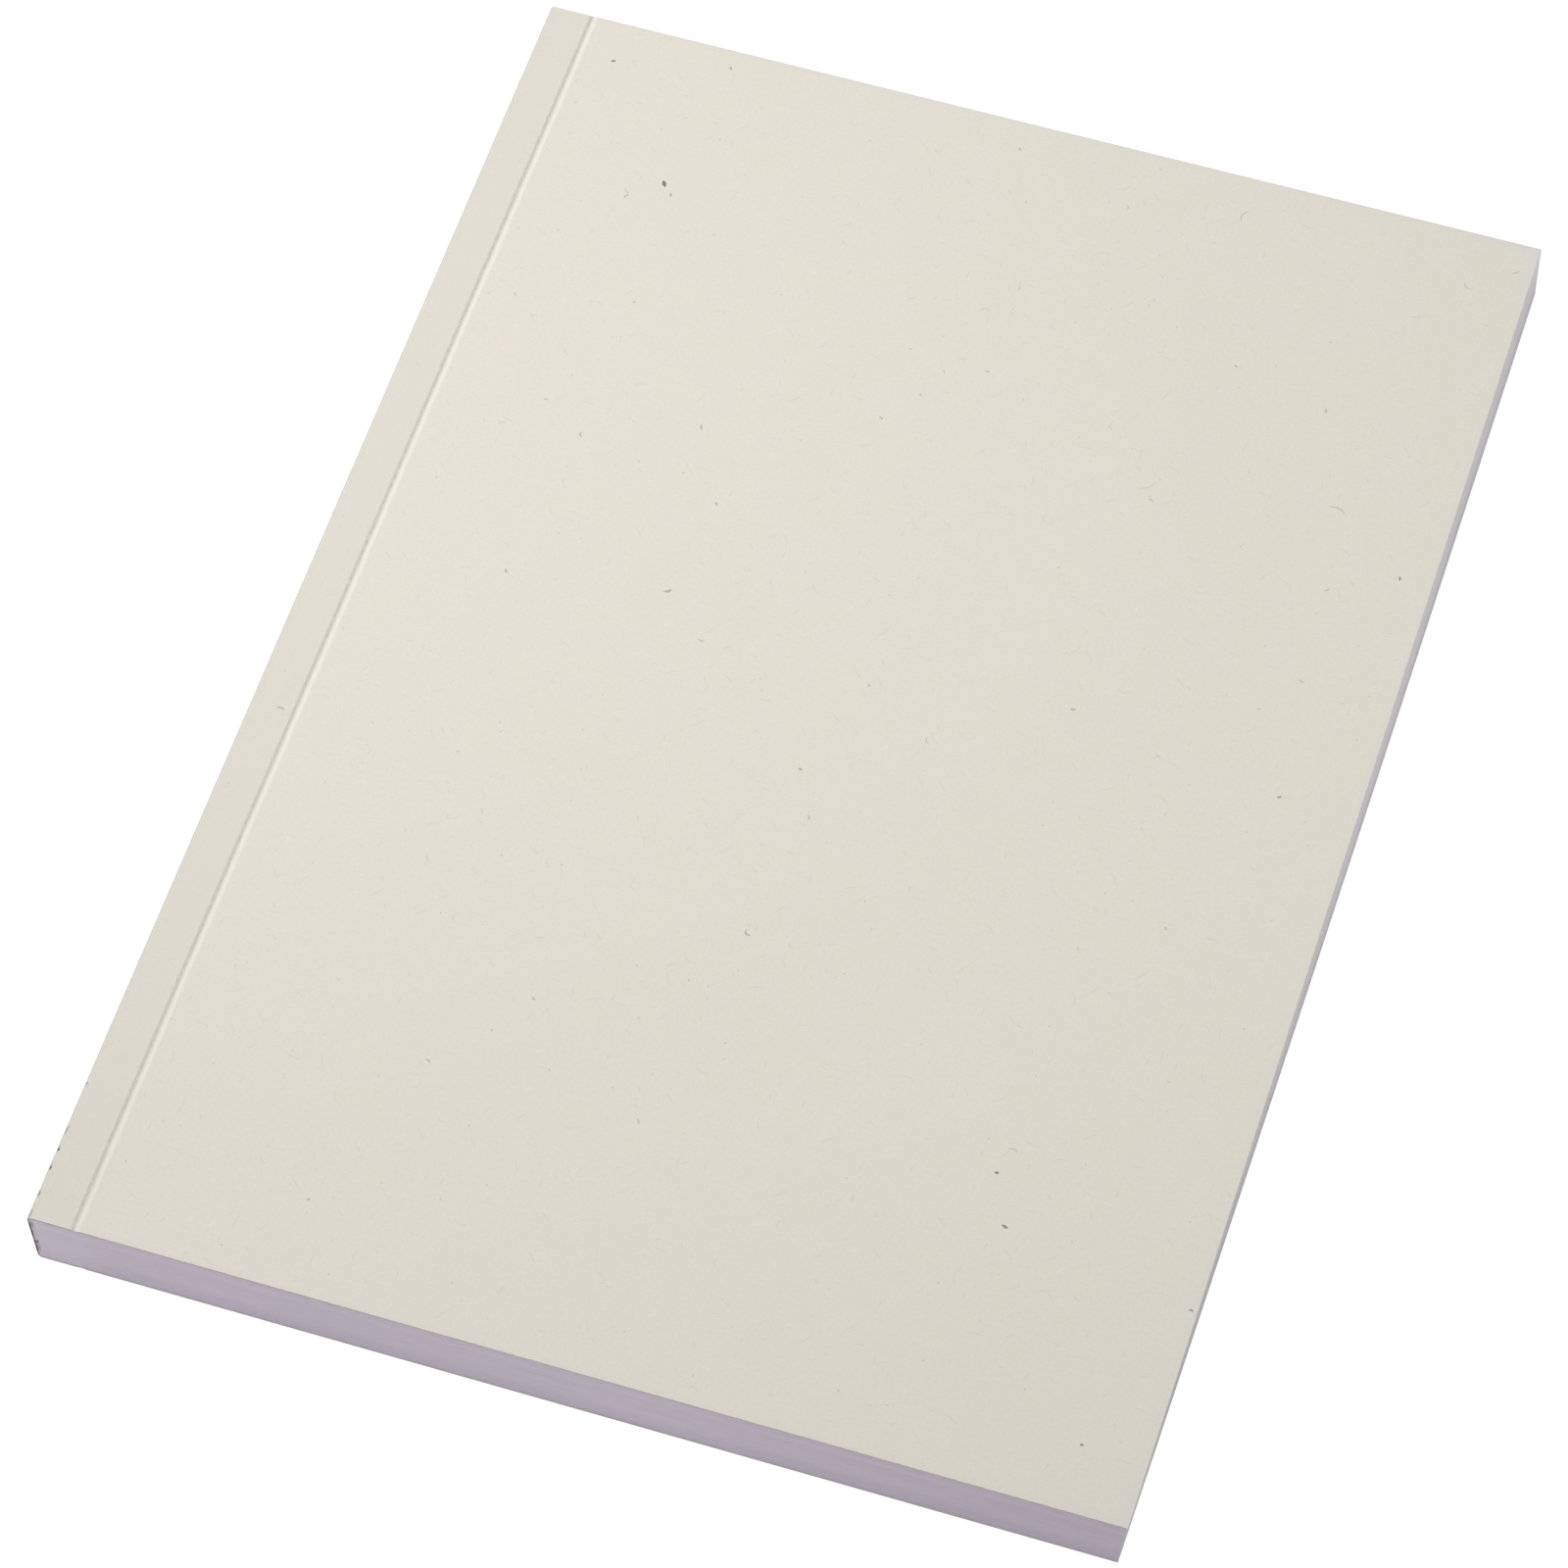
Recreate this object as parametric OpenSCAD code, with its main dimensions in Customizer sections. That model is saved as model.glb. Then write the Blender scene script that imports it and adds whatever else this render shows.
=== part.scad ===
// Softcover notebook, perfect bound: a block of blank leaves trimmed flush with a folded card cover,
// held by hot-melt glue along the spine.
// The notebook lies on its back cover. X runs from the spine to the fore edge, Y from the tail to
// the head and Z up, and the origin is the middle of the underside.
// All sizes are in millimetres.

/* [Trimmed size] */
// Width of the notebook from the spine to the fore edge
book_w = 148; // [100:1:220]
// Height of the notebook from the tail to the head
book_h = 210; // [140:1:300]

/* [Leaves] */
// Number of leaves in the block
leaf_count = 96; // [40:4:200]
// Thickness of one leaf
leaf_t = 0.1; // [0.07:0.01:0.16]

/* [Cover card] */
// Thickness of the cover card
card_t = 0.3; // [0.25:0.05:0.5]
// Radius inside the two folds at the spine
fold_inner_r = 0.3; // [0.1:0.05:0.35]

/* [Hinge crease] */
// Distance from the spine to the middle of the crease on each cover
crease_from_spine = 6.6; // [6:0.2:12]
// Width of the crease at the surface of the card
crease_w = 1.5; // [0.8:0.1:2]
// Depth of the crease below the surface of the card
crease_d = 0.15; // [0.08:0.01:0.2]

/* [Glue] */
// Thickness of the glue between the leaves and the spine card
spine_glue_t = 0.4; // [0.35:0.05:0.8]
// Thickness of the glue film on each side of the block, along the spine
side_glue_t = 0.05; // [0.03:0.01:0.15]
// Distance by which the side glue stops short of the crease
glue_stop = 1.3; // [0.5:0.1:2]

/* [Hidden] */

CARD = [0.88, 0.87, 0.81];
PAPER = [0.75, 0.72, 0.77];
GLUE = [0.86, 0.84, 0.74];

// How far a cut runs past what it cuts
cut = 1;

// The stack from the underside up: card, side glue, leaves, side glue, card
block_t = leaf_count * leaf_t;
block_z = card_t + side_glue_t;
book_t = block_t + 2 * block_z;

// The sections are drawn from the spine at 0 towards the fore edge
leaves_x = card_t + spine_glue_t;
glue_end = crease_from_spine - crease_w / 2 - glue_stop;

// A crease is a shallow round channel: the radius that gives its width and its depth
crease_r = (pow(crease_w / 2, 2) + pow(crease_d, 2)) / (2 * crease_d);

// Draws a section along the whole spine, from the tail to the head
module along_spine() {
    translate([-book_w / 2, 0, 0])
        rotate([90, 0, 0])
            linear_extrude(height = book_h, center = true)
                children();
}

// Section of a bar from start to stop, between two heights, with both corners at start rounded
module folded_section(start, stop, low, high, r) {
    translate([start + r, low])
        square([stop - start - r, high - low]);
    translate([start, low + r])
        square([2 * r, high - low - 2 * r]);
    for (z = [low + r, high - r])
        translate([start + r, z])
            circle(r = r, $fn = 48);
}

// Sections of the two creases, one pressed into each cover from outside
module crease_sections() {
    for (z = [crease_d - crease_r, book_t - crease_d + crease_r])
        translate([crease_from_spine, z])
            circle(r = crease_r, $fn = 96);
}

// The free part of a cover, from the middle of its crease to the fore edge
module cover_panel(low) {
    along_spine()
        difference() {
            translate([crease_from_spine, low])
                square([book_w - crease_from_spine, card_t]);
            crease_sections();
        }
}

module front_cover() {
    color(CARD)
        cover_panel(book_t - card_t);
}

module back_cover() {
    color(CARD)
        cover_panel(0);
}

// The middle of the folded card: the spine and the two hinge strips that are glued to the block
module cover_spine() {
    color(CARD)
        along_spine()
            difference() {
                folded_section(0, crease_from_spine, 0, book_t, card_t + fold_inner_r);
                folded_section(card_t, crease_from_spine + cut, card_t, book_t - card_t, fold_inner_r);
                crease_sections();
            }
}

// The leaves, trimmed together on three sides
module page_block() {
    color(PAPER)
        along_spine()
            translate([leaves_x, block_z])
                square([book_w - leaves_x, block_t]);
}

// The glue that fills the fold: thick along the spine, a thin film on the outer leaves
module spine_glue() {
    color(GLUE)
        along_spine()
            difference() {
                folded_section(card_t, glue_end, card_t, book_t - card_t, fold_inner_r);
                translate([leaves_x, block_z])
                    square([book_w, block_t]);
            }
}

front_cover();
cover_spine();
back_cover();
page_block();
spine_glue();
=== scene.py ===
# %% [markdown]
# A softcover notebook
# This is a perfect-bound notebook: a block of blank leaves, a cover of flecked recycled card that is
# creased and folded round it, and a line of hot-melt glue along the spine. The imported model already
# gives the place and size of every piece, so it is loaded first and nothing in it is moved. What is
# left for Blender is what a hand or an eye notices: the pressed crease, the cut edges of the card,
# the trimmed stack of leaves, the ragged end of the glue and the fibres in the card.

import math
import random

import bmesh
import bpy
from mathutils import Matrix, Vector


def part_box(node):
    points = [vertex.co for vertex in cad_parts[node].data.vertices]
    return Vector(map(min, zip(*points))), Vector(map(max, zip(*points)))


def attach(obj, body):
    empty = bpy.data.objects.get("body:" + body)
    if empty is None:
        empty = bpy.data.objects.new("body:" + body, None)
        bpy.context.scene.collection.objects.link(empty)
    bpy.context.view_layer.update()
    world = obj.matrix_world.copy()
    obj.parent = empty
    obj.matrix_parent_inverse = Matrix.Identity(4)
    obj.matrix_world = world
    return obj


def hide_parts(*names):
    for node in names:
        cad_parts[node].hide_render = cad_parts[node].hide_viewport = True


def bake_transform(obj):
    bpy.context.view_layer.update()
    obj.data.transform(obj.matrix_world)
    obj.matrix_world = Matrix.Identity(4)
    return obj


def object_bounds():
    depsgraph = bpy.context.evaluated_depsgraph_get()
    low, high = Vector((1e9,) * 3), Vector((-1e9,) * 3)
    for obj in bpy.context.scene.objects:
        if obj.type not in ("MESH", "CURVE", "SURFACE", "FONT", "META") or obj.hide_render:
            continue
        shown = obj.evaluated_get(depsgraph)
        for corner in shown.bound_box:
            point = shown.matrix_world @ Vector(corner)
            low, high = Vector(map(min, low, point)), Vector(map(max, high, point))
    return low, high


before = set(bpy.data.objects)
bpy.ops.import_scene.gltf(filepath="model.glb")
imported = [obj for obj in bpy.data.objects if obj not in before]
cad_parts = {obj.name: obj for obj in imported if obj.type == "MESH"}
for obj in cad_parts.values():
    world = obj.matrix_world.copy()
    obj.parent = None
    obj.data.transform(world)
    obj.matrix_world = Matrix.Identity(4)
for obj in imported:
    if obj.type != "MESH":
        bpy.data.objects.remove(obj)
cad_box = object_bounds()

# %% [markdown]
# Working sizes
# Blender works in metres from the middle of the underside, which is awkward for card that is a third
# of a millimetre thick. A bookbinder measures in millimetres from the spine, the tail and the
# underside. The script draws every piece that way and moves the finished mesh into the frame, so the
# numbers below can be read off a real notebook with a ruler.

# %% Sizes in millimetres
MM = 0.001


def binder_mm(point):
    """A point of the frame, measured from the spine, the tail and the underside in millimetres."""
    return (point - cad_box[0]) / MM


book_w, book_h, book_t = binder_mm(cad_box[1])
cover_low, cover_high = [binder_mm(corner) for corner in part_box("front_cover")]
leaves_low, leaves_high = [binder_mm(corner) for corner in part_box("page_block")]
glue_low, glue_high = [binder_mm(corner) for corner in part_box("spine_glue")]

card_t = cover_high.z - cover_low.z
crease_x = cover_low.x
fold_r = 0.6
leaf_count = 96
TO_FRAME = Matrix.Translation(cad_box[0]) @ Matrix.Scale(MM, 4)

print(f"notebook {book_w:.1f} x {book_h:.1f} x {book_t:.1f} mm, card {card_t:.2f} mm, "
      f"crease {crease_x:.1f} mm from the spine")

# %% [markdown]
# The camera
# A catalogue photograph is taken with a long lens from well above, so that the cover stays nearly
# square to the eye and the two edges nearest the lens just show. The camera is placed by the point it
# looks at, two angles and a distance. It is also tilted by a degree, as a hand-set tripod is.

# %% Camera
CAMERA_AIM_MM = Vector((72.08, 95.63, 5.11))
CAMERA_AZIMUTH = 18.53
CAMERA_ELEVATION = 57.48
CAMERA_ROLL = -0.918
CAMERA_DISTANCE = 0.9
CAMERA_LENS = 152.77
SENSOR_W = 36.0


def direction(azimuth, elevation):
    """The unit vector from the notebook towards a viewer at two angles, in degrees."""
    turn, rise = math.radians(azimuth), math.radians(elevation)
    flat = math.cos(rise)
    return Vector((math.sin(turn) * flat, -math.cos(turn) * flat, math.sin(rise)))


def make_camera():
    """A long lens that looks down on the cover from the tail."""
    back = direction(CAMERA_AZIMUTH, CAMERA_ELEVATION)
    turn = back.to_track_quat("Z", "Y").to_matrix() @ Matrix.Rotation(math.radians(CAMERA_ROLL), 3, "Z")
    data = bpy.data.cameras.new("camera")
    data.lens = CAMERA_LENS
    data.sensor_width = SENSOR_W
    data.clip_start = 0.01
    data.clip_end = 20.0
    camera = bpy.data.objects.new("camera", data)
    place = TO_FRAME @ CAMERA_AIM_MM + back * CAMERA_DISTANCE
    camera.matrix_world = Matrix.Translation(place) @ turn.to_4x4()
    bpy.context.scene.collection.objects.link(camera)
    return camera


camera = make_camera()
bpy.context.scene.camera = camera
bpy.context.scene.view_settings.view_transform = "Standard"


def pixel(point_mm, frame_px=1600):
    """Where a point of the notebook falls in a square picture of that many pixels."""
    seen = camera.matrix_world.inverted() @ (TO_FRAME @ point_mm)
    scale = frame_px * CAMERA_LENS / SENSOR_W
    middle = frame_px / 2
    return round(middle - scale * seen.x / seen.z, 1), round(middle + scale * seen.y / seen.z, 1)


for name, x, y, z in [("spine, head", 0, book_h, book_t), ("fore edge, head", book_w, book_h, book_t),
                      ("spine, tail", 0, 0, book_t), ("fore edge, tail", book_w, 0, book_t)]:
    print("cover corner at the", name, "falls at", pixel(Vector((x, y, z))))

# %% [markdown]
# Arithmetic on shader sockets
# A material is a network of small nodes, and drawing one by hand hides its reasoning. Here a socket
# is wrapped in a class that knows how to add, multiply and compare, so a line of Python such as
# 1 - mask builds the Math node for it. Every other kind of node comes from one method, which takes
# the node's settings first and then what is plugged into each socket.

# %% Colours
SPECULAR = 0.25


def tone(red, green, blue):
    """A colour as a picture editor gives it, 0 to 255, turned into the linear values of the shader."""
    parts = [value / 255 for value in (red, green, blue)]
    linear = [part / 12.92 if part <= 0.04045 else ((part + 0.055) / 1.055) ** 2.4 for part in parts]
    return (*linear, 1.0)

# %% Arithmetic
class Value:
    """A number that changes over a surface. Arithmetic on it adds Math nodes."""

    def __init__(self, paint, socket):
        self.paint = paint
        self.socket = socket

    def math(self, operation, *numbers, clamp=False):
        settings = {"operation": operation, "use_clamp": clamp}
        return self.paint.node("ShaderNodeMath", settings, dict(enumerate(numbers)))

    def __add__(self, other):
        return self.math("ADD", self, other)

    def __sub__(self, other):
        return self.math("SUBTRACT", self, other)

    def __rsub__(self, other):
        return self.math("SUBTRACT", other, self)

    def __mul__(self, other):
        return self.math("MULTIPLY", self, other)

    def __truediv__(self, other):
        return self.math("DIVIDE", self, other)

    def __lt__(self, other):
        return self.math("LESS_THAN", self, other)

    __radd__ = __add__
    __rmul__ = __mul__

    def size(self):
        """The value without its sign."""
        return self.math("ABSOLUTE", self)

    def clamped(self):
        """The value kept between 0 and 1."""
        return self.math("ADD", self, 0.0, clamp=True)

# %% Node trees
class NodeTree:
    """The nodes of one material, or of the sky."""

    def __init__(self, tree):
        self.tree = tree

    def plug(self, socket, value):
        """Links a socket to a value of this tree, or sets it to a plain number, vector or colour."""
        if isinstance(value, Value):
            self.tree.links.new(value.socket, socket)
        else:
            socket.default_value = value

    def node(self, kind, settings=None, sockets=None, out=0):
        """Adds a node: its settings, then what each socket holds. Gives back one of its outputs."""
        node = self.tree.nodes.new(kind)
        for name, value in (settings or {}).items():
            setattr(node, name, value)
        for name, value in (sockets or {}).items():
            self.plug(node.inputs[name], value)
        return Value(self, node.outputs[out])

    def parts(self, vector):
        """The three numbers of a vector."""
        first = self.node("ShaderNodeSeparateXYZ", {}, {0: vector})
        outputs = first.socket.node.outputs
        return [Value(self, outputs[i]) for i in range(3)]

    def vector(self, x, y, z):
        """Three numbers as one vector."""
        return self.node("ShaderNodeCombineXYZ", {}, {0: x, 1: y, 2: z})

    def noise(self, place, grain_mm, detail=2.0, rough=0.5):
        """Soft clouds about grain_mm across, from 0 to 1, on a place that is given in millimetres."""
        sockets = {"Vector": place, "Scale": 1 / grain_mm, "Detail": detail, "Roughness": rough}
        return self.node("ShaderNodeTexNoise", {}, sockets)

    def steps(self, value, low, high):
        """0 below low, 1 above high and a smooth rise between."""
        settings = {"interpolation_type": "SMOOTHSTEP"}
        return self.node("ShaderNodeMapRange", settings, {0: value, 1: low, 2: high, 3: 0.0, 4: 1.0})

    def mix(self, mask, first, second, blend="MIX"):
        """The first colour where the mask is 0, and the second where it is 1, laid on as blend says."""
        settings = {"data_type": "RGBA", "blend_type": blend}
        return self.node("ShaderNodeMix", settings, {0: mask, 6: first, 7: second}, out=2)

    def bump(self, height, depth_mm):
        """A normal that stands the surface up by depth_mm where height is 1."""
        sockets = {"Height": height, "Distance": depth_mm * MM, "Strength": 1.0}
        return self.node("ShaderNodeBump", {}, sockets)

# %% Materials
class Paint(NodeTree):
    """One material, with the shader of its surface."""

    def __init__(self, name, roughness):
        self.material = bpy.data.materials.new(name)
        self.material.use_nodes = True
        super().__init__(self.material.node_tree)
        self.shader = self.tree.nodes["Principled BSDF"]
        self.shader.inputs["Roughness"].default_value = roughness
        self.shader.inputs["Specular IOR Level"].default_value = SPECULAR

    def finish(self, colour, normal=None):
        """Plugs the colour, and the normal if there is one, into the surface."""
        self.plug(self.shader.inputs["Base Color"], colour)
        if normal is not None:
            self.plug(self.shader.inputs["Normal"], normal)
        print("finish:", self.material.name, "with", len(self.tree.nodes), "nodes")
        return self.material

# %% [markdown]
# Card
# The cover is uncoated recycled card. Its pulp is not stirred evenly, so the tone drifts in clouds,
# and bits of coloured fibre and dark dirt are caught in it. A picture could be wrapped on, but it
# would blur close up and would need the real one to copy. Patterns made of noise and of scattered
# cells are sharp at any distance. They are laid out on the sheet as it was before folding, in an
# attribute of the mesh, so that they run round the folds and stay put when a cover opens.

# %% Tones of the card
CARD_WARM = tone(231, 225.5, 215)
CARD_COOL = tone(228, 226.5, 213)
STRIP_SHADE = tone(219, 214, 203)
CARD_DIRT = tone(112, 106, 92)
CARD_FIBRE = tone(168, 163, 150)
CARD_PALE = tone(238, 236, 226)
CARD_RUBBED = tone(226, 221, 217)
CARD_FOLD = tone(197, 195, 184)
CARD_WORN = tone(216, 216, 207)
CREASE_SHADE_AND_DUST = tone(150, 144, 130)
EDGE_PALE = tone(216, 210, 201)
EDGE_GREY = tone(192, 185, 176)
EDGE_FLECK = tone(140, 132, 122)
EDGE_LOW_SHADE = tone(168, 162, 166)
EDGE_HIGHLIGHT = tone(232, 226, 227)
EDGE_GRIMY = tone(172, 168, 166)
OUTER_PLY = tone(206, 204, 196)
SPINE_END_SHADE = tone(46, 42, 40)
FOLD_SHADE_DARK = tone(76, 74, 64)

# Distance along the sheet from the middle of the spine to the start of a flat cover
half_spine = book_t / 2 - fold_r
crease_wall = 0.36
fold_length = math.pi / 2 * fold_r
wrap = half_spine + fold_length - fold_r

# The marks of painted shade on the front fold: distance of each from the tail, its length and its strength
FOLD_SHADE_MARKS = [
    (0.6, 3.0, 0.5), (3.8, 1.9, 0.7), (7.8, 1.9, 0.95), (10.7, 1.9, 1.0), (13.8, 3.4, 0.45),
    (21.0, 0.7, 0.6),
]

# %% [markdown]
# Fibres and specks
# A fibre lands anywhere on the sheet and lies at any angle. Drawing thousands of them by hand is
# hopeless, and plain noise gives blobs. The sheet is divided into uneven cells instead, some of the
# cells are picked, and each picked cell gets one mark that is turned at random.

# %% Fibres and specks
def scattered(paint, place, spacing, share):
    """Divides the sheet into cells and picks a share of them. Gives the place measured from the
    middle of its cell and turned at random, whether the cell is picked, and a random number."""
    cells = paint.node("ShaderNodeTexVoronoi", {"voronoi_dimensions": "2D"},
                       {"Vector": place, "Scale": 1 / spacing}, out="Position")
    outputs = cells.socket.node.outputs
    offset = paint.node("ShaderNodeVectorMath", {"operation": "SUBTRACT"}, {0: place, 1: cells})
    turn, pick, other = paint.parts(Value(paint, outputs["Color"]))
    turned = paint.node("ShaderNodeVectorRotate", {"rotation_type": "Z_AXIS"},
                        {"Vector": offset, "Angle": turn * math.tau})
    return turned, pick < share, other


def fibres(paint, place, spacing, share, length, width):
    """A mask of short curved fibres, one in each picked cell."""
    turned, picked, bend = scattered(paint, place, spacing, share)
    along, across, _ = paint.parts(turned)
    curve = across + (bend - 0.5) * (along * along) * (1.2 / length)
    thin = 1 - paint.steps(curve.size(), width * 0.3, width * 0.8)
    short = 1 - paint.steps(along.size(), length * 0.35, length * 0.5)
    return thin * short * picked


def specks(paint, place, spacing, share, radius):
    """A mask of small round-cornered specks, one in each picked cell."""
    turned, picked, other = scattered(paint, place, spacing, share)
    across, along, _ = paint.parts(turned)
    reach = across.size() + along.size() * 0.6
    return (1 - paint.steps(reach / (0.4 + other), radius * 0.6, radius)) * picked

# %% [markdown]
# The faces of the card
# The finish is built in layers: first the pulp, then what is caught in it, then painted shade on the
# hinge strip, then the wear at the trimmed edges and the folds, painted shade and a painted highlight in
# the crease, and painted shade on the front fold. Each layer is a mask and a tone, so any of them can be
# made stronger or taken out.

# %% Tone of the pulp
def card_tone(paint, place, from_spine):
    """The colour of the card before its fibres: clouds of warmer and cooler pulp, cooler further
    from the spine."""
    clouds = paint.noise(place, 38.0, 3.0) * 0.6 + paint.noise(place, 7.0, 3.0) * 0.4
    clouds = clouds + (from_spine / book_w - 0.5) * 0.2
    pulp = paint.noise(place, 0.5, 3.0, 0.7)
    base = paint.mix(paint.steps(clouds, 0.35, 0.65), CARD_WARM, CARD_COOL)
    return paint.mix(paint.steps(pulp, 0.45, 0.8) * 0.12, base, CARD_FIBRE)

# %% Faces of the card
def card_finish():
    """The two faces of the card."""
    paint = Paint("cover card", 0.86)
    place = paint.node("ShaderNodeAttribute", {"attribute_name": "sheet"}, out="Vector")
    across, along, depth = paint.parts(place)
    # The depth moves the pattern sideways, so the two faces of the card don't have the same fibres
    place = paint.vector(across + depth * 40, along, 0.0)
    colour = card_tone(paint, place, across.size() - wrap)
    colour = paint.mix(fibres(paint, place, 6.5, 0.45, 2.2, 0.20) * 0.10, colour, CARD_FIBRE)
    colour = paint.mix(fibres(paint, place, 4.1, 0.30, 1.1, 0.16) * 0.14, colour, CARD_FIBRE)
    colour = paint.mix(fibres(paint, place, 5.3, 0.35, 1.6, 0.24) * 0.25, colour, CARD_PALE)
    colour = paint.mix(specks(paint, place, 3.7, 0.12, 0.14) * 0.25, colour, CARD_DIRT)

    # Painted shade: the strip beside the spine is darkened a little, as its slight tilt would shade it
    strip = 1 - paint.steps(across.size() - wrap, crease_x - 0.9, crease_x - 0.5)
    colour = paint.mix(strip * 0.35, colour, STRIP_SHADE)

    # Handling rubs the trimmed edges and the corners paler, and greys the folds
    side = book_w + wrap - across.size()
    end = along.math("MINIMUM", along, book_h - along)
    edge = side.math("MINIMUM", side, end)
    rubbed = 1 - paint.steps(edge, 0.1, 1.1)
    corner = (1 - paint.steps(side + end, 3.0, 14.0)) * (1 - paint.steps(edge, 0.4, 2.0))
    worn = 1 - paint.steps((across.size() - half_spine - fold_length * 0.6).size(), 0.35, 1.1)
    folded = 1 - paint.steps((across.size() - half_spine - fold_length * 0.25).size(), 0.3, 0.6)
    colour = paint.mix(rubbed * 0.4, colour, CARD_RUBBED)
    colour = paint.mix(corner * 0.6, colour, CARD_RUBBED)
    colour = paint.mix(worn * 0.3, colour, CARD_WORN)
    colour = paint.mix(folded * 0.75, colour, CARD_FOLD)

    # Painted shade, in dusty patches, on the crease's steep wall; a painted highlight on its other wall
    wall = (across.size() - wrap - crease_x + crease_wall).size()
    patchy = paint.steps(paint.noise(place, 0.9, 3.0, 0.6), 0.35, 0.65) * 0.3 + 0.1
    colour = paint.mix((1 - paint.steps(wall, 0.08, 0.38)) * patchy, colour, CREASE_SHADE_AND_DUST)
    # Painted highlight on the far wall of the crease
    rim_highlight = (across.size() - wrap - crease_x - crease_wall).size()
    colour = paint.mix((1 - paint.steps(rim_highlight, 0.1, 0.45)) * 0.45, colour, CARD_PALE)

    # Painted shade: dark, ragged marks on the front fold near the tail
    ragged = paint.noise(place, 0.45, 3.0, 0.7)
    shade_marks = 0.0
    off_fold = (across - half_spine - fold_length * 0.7).size() * 2.8
    for middle, length, strength in FOLD_SHADE_MARKS:
        reach = ((along - middle) / length).size() * 2 + off_fold
        shade_marks = shade_marks + (1 - paint.steps(reach + ragged * 1.6, 1.1, 1.6)) * strength
    colour = paint.mix(shade_marks.clamped() * 0.9, colour, FOLD_SHADE_DARK)

    grain = paint.noise(place, 0.35, 3.0, 0.65) + paint.noise(place, 2.4, 2.0) * 0.8
    return paint.finish(colour, paint.bump(grain, 0.012))

# %% [markdown]
# The cut edges of the card
# A third of a millimetre is thin, but a pale line of card round the grey leaves is what makes the
# cover read as a separate sheet. The cut edges get a material of their own, with the layers of the
# pulp, and at the ends of the spine they carry painted shade: dark and ragged behind a pale outer ply.

# %% Cut edges of the card
def card_edge_finish():
    """The cut edge of the card, where the pulp's layers show and dust has settled."""
    paint = Paint("cut edge of the card", 0.92)
    place = paint.node("ShaderNodeAttribute", {"attribute_name": "sheet"}, out="Vector")
    across, along, depth = paint.parts(place)
    layers = paint.noise(paint.vector(across * 0.12, along * 0.12, depth), 0.06, 2.0)
    flecks = paint.noise(paint.vector(across, along, depth * 3), 0.5, 3.0)
    colour = paint.mix(layers, EDGE_PALE, EDGE_GREY)
    colour = paint.mix(paint.steps(flecks, 0.55, 0.75) * 0.5, colour, EDGE_FLECK)
    # Painted shade: the back cover's edge, which lies on the table, is darker
    colour = paint.mix((1 - paint.steps(across, -1.0, 1.0)) * 0.5, colour, EDGE_LOW_SHADE)
    # A painted highlight makes the fore edge pale, and the hinge strip's end is grimy from opening
    reach = across.size() - wrap
    colour = paint.mix(paint.steps(reach, book_w - 0.4, book_w - 0.1) * 0.8, colour, EDGE_HIGHLIGHT)
    colour = paint.mix((1 - paint.steps(reach, 4.0, 14.0)) * 0.6, colour, EDGE_GRIMY)
    # At the ends of the spine the card's edge carries painted shade, dark and ragged behind its outer ply
    at_spine = 1 - paint.steps(across.size(), half_spine - 0.9, half_spine - 0.2)
    end_noise = paint.noise(paint.vector(across, along * 0.2, depth), 0.9, 3.0, 0.7)
    shaded_end = at_spine * paint.steps(end_noise, 0.4, 0.47)
    colour = paint.mix(shaded_end * (1 - paint.steps(depth, 0.06, 0.1)), colour, OUTER_PLY)
    colour = paint.mix(shaded_end * paint.steps(depth, 0.06, 0.12), colour, SPINE_END_SHADE)
    return paint.finish(colour, paint.bump(layers, 0.02))


card = card_finish()
card_edge = card_edge_finish()

# %% [markdown]
# The crease
# A perfect-bound cover is scored beside the spine so that it opens in a straight line. The rule that
# scores it leaves a round groove, and the strip between the groove and the spine is pressed a little
# lower, because it is glued down and the rest of the cover is free. Both are a few hundredths of a
# millimetre, too little for a separate piece but enough to catch the light along the whole cover, so
# one function says how far the face lies below flat and every piece of card is shaped by it. The
# rule also wanders by a hair, which keeps the line from looking drawn.

# %% Shape of the crease
crease_w = 1.5
crease_deep = 0.15
strip_drop = 0.03
strip_start = 1.2
# The rule's wander as three waves: how far each goes, its length and where it starts
WANDER = [(0.05, 14.0, 1.0), (0.03, 3.7, 0.0), (0.015, 1.3, 0.0)]


def smooth(value, low, high):
    """0 below low, 1 above high and a smooth rise between, as a number."""
    share = min(1.0, max(0.0, (value - low) / (high - low)))
    return share * share * (3 - 2 * share)


def crease_wander(along):
    """How far the crease lies to one side of its straight line."""
    return sum(reach * math.sin(along / length + start) for reach, length, start in WANDER)


def crease_drop(across, along):
    """How far the face of the card lies below flat, at a distance from the spine and the tail."""
    offset = across - crease_x - crease_wander(along)
    pressed = strip_drop * smooth(across, strip_start, crease_x - crease_w / 2) if offset < 0 else 0.0
    if abs(offset) >= crease_w / 2:
        return pressed
    groove = 0.5 + 0.5 * math.cos(math.tau * offset / crease_w)
    return pressed + (crease_deep - pressed) * groove


print("crease is", crease_deep, "mm deep and the strip beside it", strip_drop, "mm low")

# %% [markdown]
# Meshes that are cut, not listed
# Each piece of card starts from a block or a short edge and is cut across where it has to bend. The
# helpers here make those cuts, store where each point lies on the unfolded sheet, and turn a finished
# bmesh into an object in the frame. Faces on the cut edges take the second material.

# %% Mesh helpers
SMALL = 0.004
SPINE_LEAN = 0.55
LEAN_END = 4.0


def slice_across(bm, axis, places):
    """Cuts the whole mesh by planes across one axis."""
    normal = Vector([1.0 if i == axis else 0.0 for i in range(3)])
    for place in places:
        geometry = bm.verts[:] + bm.edges[:] + bm.faces[:]
        bmesh.ops.bisect_plane(bm, geom=geometry, plane_co=normal * place, plane_no=normal, dist=1e-5)


def spread(start, stop, step):
    """Even places strictly between start and stop, about step apart."""
    count = max(1, round((stop - start) / step))
    return [start + (stop - start) * i / count for i in range(1, count)]


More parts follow.
